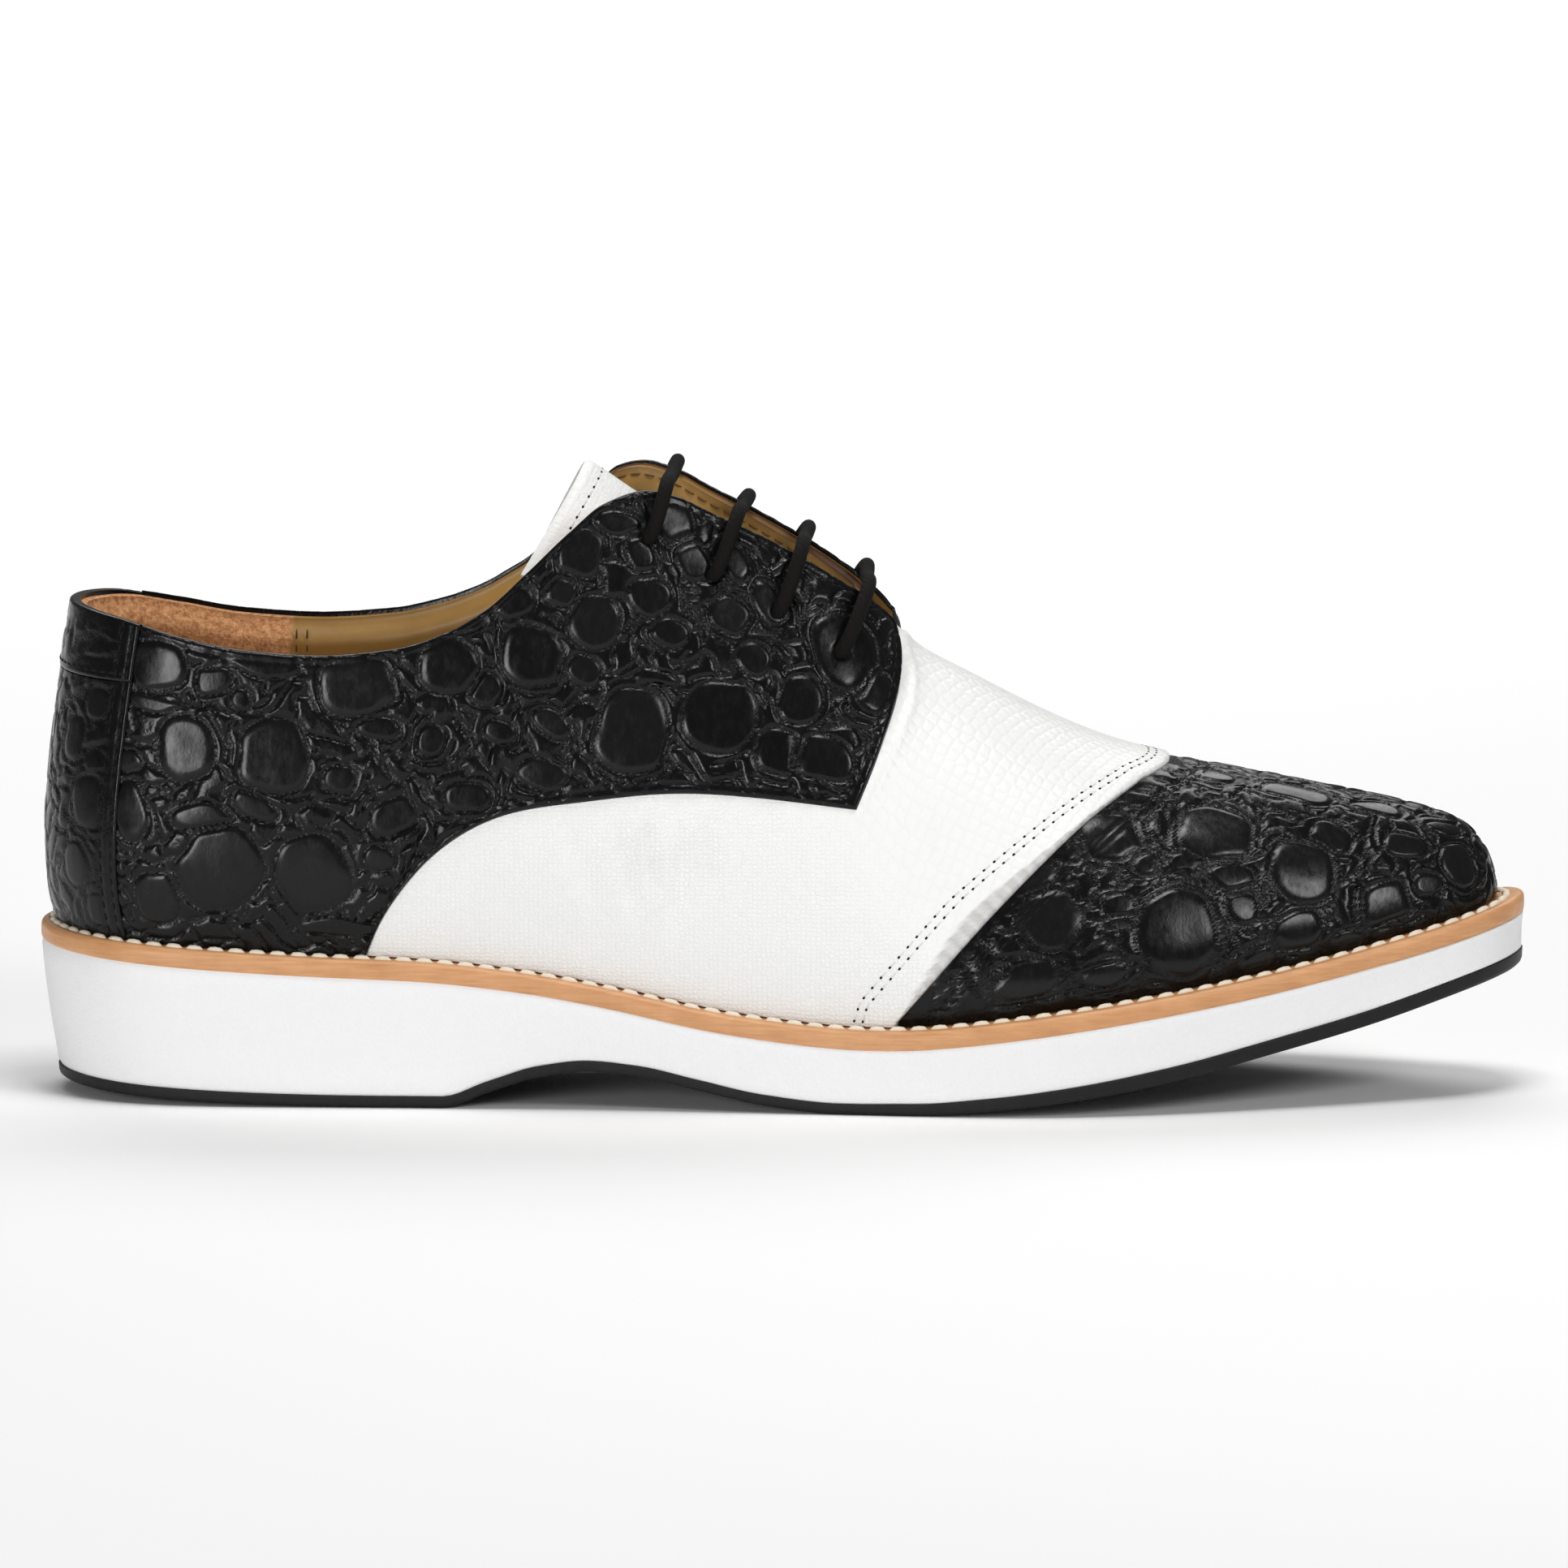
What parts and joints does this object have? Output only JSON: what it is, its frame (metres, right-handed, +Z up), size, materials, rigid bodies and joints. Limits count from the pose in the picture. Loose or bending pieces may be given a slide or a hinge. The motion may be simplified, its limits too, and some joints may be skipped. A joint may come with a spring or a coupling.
{
  "type": "laced dress shoe",
  "caption": "Right low laced dress shoe: black scaled-leather toe, quarters and heel, white grained vamp and tongue, tan welt, white wedge sole.",
  "frame": {"origin": "centre of the footprint on the floor", "axes": "+X towards the toe, +Y towards the medial side, +Z up"},
  "size_m": [0.3046, 0.0984, 0.1302],
  "materials": {
    "black_rubber": "matt black tread rubber",
    "white_foam": "fine matt white foam",
    "tan_leather": "smooth tan welt leather",
    "lining_leather": "soft tan lining leather",
    "black_leather": "glossy black leather embossed with large scales",
    "white_leather": "satin white leather with a fine lizard grain",
    "black_cord": "matt dark woven cord"
  },
  "bodies": {
    "root": {"outsole": "black_rubber", "midsole": "white_foam", "welt": "tan_leather", "insole": "lining_leather", "upper": "lining_leather", "toe_cap": "black_leather", "vamp": "white_leather", "quarter_lateral": "black_leather", "quarter_medial": "black_leather", "back_strip": "black_leather", "heel_tab": "black_leather", "tongue": "white_leather", "lace_bar_1": "black_cord", "lace_bar_2": "black_cord", "lace_bar_3": "black_cord", "lace_bar_4": "black_cord"}
  },
  "joints": []
}
